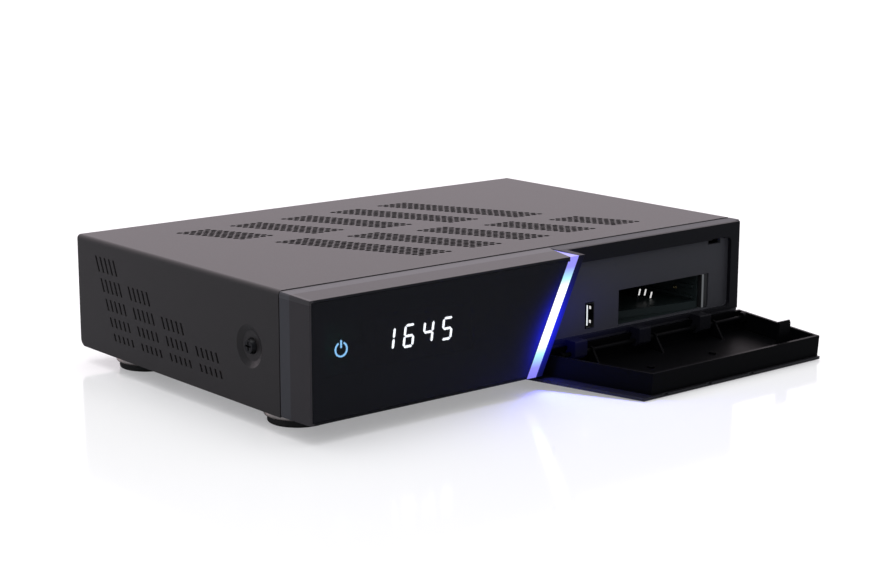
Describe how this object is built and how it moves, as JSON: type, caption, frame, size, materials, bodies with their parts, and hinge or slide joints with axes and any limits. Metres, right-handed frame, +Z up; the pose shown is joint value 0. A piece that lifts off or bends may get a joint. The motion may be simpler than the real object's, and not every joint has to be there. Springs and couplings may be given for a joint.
{
  "type": "satellite tv receiver",
  "caption": "Satellite television receiver: flat black steel casing, dark glass front with a slanted light bar, drop-down flap over a card slot and a USB socket",
  "frame": {"origin": "on the floor, under the middle of the whole with its flap open, so halfway between the flap's far edge and the ends of the aerial sockets", "axes": "X runs right as seen from the front, Y runs from the front to the back, Z runs up"},
  "size_m": [0.3012, 0.2556, 0.0673],
  "materials": {
    "top_cover": "fine black powder coat",
    "vent_screens": "fine black powder coat",
    "chassis_base": "galvanised sheet",
    "rear_panel": "galvanised sheet",
    "front_bezel": "satin black moulding",
    "front_glass": "smoked glossy glass",
    "light_guide": "lit blue from behind",
    "light_board": "green solder resist",
    "display_digits": "lit",
    "display_module": "black moulded plastic",
    "power_mark": "lit",
    "front_board": "green solder resist",
    "infrared_eye": "black moulded plastic",
    "flap_tray": "satin black moulding",
    "flap_face": "glossy black skin",
    "hinge_rod": "bright steel",
    "latch_catch": "bright steel",
    "front_usb_shell": "tinned steel",
    "front_usb_tongue": "black moulded plastic",
    "front_usb_board": "green solder resist",
    "card_cage": "dark moulded plastic",
    "card_reader": "dark moulded plastic",
    "card_contacts": "plated",
    "eject_button": "black",
    "main_board": "green solder resist",
    "board_standoffs": "plated",
    "board_screws": "bright steel",
    "flat_cable": "pale plastic",
    "heat_sink": "extruded",
    "main_chips": "black moulded plastic",
    "board_capacitors": "shrink sleeve",
    "tuner_cans": "tinned steel",
    "aerial_sockets": "plated",
    "aerial_nuts": "bright steel",
    "aerial_insulators": "pale plastic",
    "hdmi_socket": "tinned steel",
    "network_socket": "tinned steel",
    "rear_usb_shell": "tinned steel",
    "rear_usb_tongue": "black moulded plastic",
    "optical_socket": "black moulded plastic",
    "av_sockets": "tinned steel",
    "av_insulators": "coloured insert",
    "power_board": "single-sided board",
    "insulating_sheet": "pale plastic",
    "transformer": "tape wrapped",
    "power_capacitors": "black moulded plastic",
    "power_heat_sink": "extruded",
    "mains_inlet": "black moulded plastic",
    "inlet_pins": "tinned steel",
    "rocker_frame": "black moulded plastic",
    "power_rocker": "black moulded plastic",
    "foot_rings": "bright ring",
    "foot_pads": "soft pad",
    "foot_screws": "bright steel",
    "side_screws": "blackened",
    "rear_screws": "blackened",
    "bezel_screws": "bright steel"
  },
  "bodies": {
    "casing": {"top_cover": "top_cover", "vent_screens": "vent_screens", "chassis_base": "chassis_base", "rear_panel": "rear_panel", "front_bezel": "front_bezel", "front_glass": "front_glass", "light_guide": "light_guide", "light_board": "light_board", "display_digits": "display_digits", "display_module": "display_module", "power_mark": "power_mark", "front_board": "front_board", "infrared_eye": "infrared_eye", "latch_catch": "latch_catch", "front_usb_shell": "front_usb_shell", "front_usb_tongue": "front_usb_tongue", "front_usb_board": "front_usb_board", "card_cage": "card_cage", "card_reader": "card_reader", "card_contacts": "card_contacts", "main_board": "main_board", "board_standoffs": "board_standoffs", "board_screws": "board_screws", "flat_cable": "flat_cable", "heat_sink": "heat_sink", "main_chips": "main_chips", "board_capacitors": "board_capacitors", "tuner_cans": "tuner_cans", "aerial_sockets": "aerial_sockets", "aerial_nuts": "aerial_nuts", "aerial_insulators": "aerial_insulators", "hdmi_socket": "hdmi_socket", "network_socket": "network_socket", "rear_usb_shell": "rear_usb_shell", "rear_usb_tongue": "rear_usb_tongue", "optical_socket": "optical_socket", "av_sockets": "av_sockets", "av_insulators": "av_insulators", "power_board": "power_board", "insulating_sheet": "insulating_sheet", "transformer": "transformer", "power_capacitors": "power_capacitors", "power_heat_sink": "power_heat_sink", "mains_inlet": "mains_inlet", "inlet_pins": "inlet_pins", "rocker_frame": "rocker_frame", "foot_rings": "foot_rings", "foot_pads": "foot_pads", "foot_screws": "foot_screws", "side_screws": "side_screws", "rear_screws": "rear_screws", "bezel_screws": "bezel_screws"},
    "flap": {"flap_tray": "flap_tray", "flap_face": "flap_face", "hinge_rod": "hinge_rod"},
    "eject": {"eject_button": "eject_button"},
    "rocker": {"power_rocker": "power_rocker"}
  },
  "joints": [
    {"name": "flap_hinge", "type": "hinge", "parent": "casing", "child": "flap", "pos_m": [0.08, -0.07619, 0.014], "axis": [-1, 0, 0], "range_deg": [0, 94.5]},
    {"name": "eject_push", "type": "slide", "parent": "casing", "child": "eject", "axis": [0, 1, 0], "range_m": [0, 0.005], "stiffness_N_per_m": 200},
    {"name": "mains_switch", "type": "hinge", "parent": "casing", "child": "rocker", "pos_m": [-0.092, 0.11451, 0.0345], "axis": [-1, 0, 0], "range_deg": [0, 16]}
  ]
}
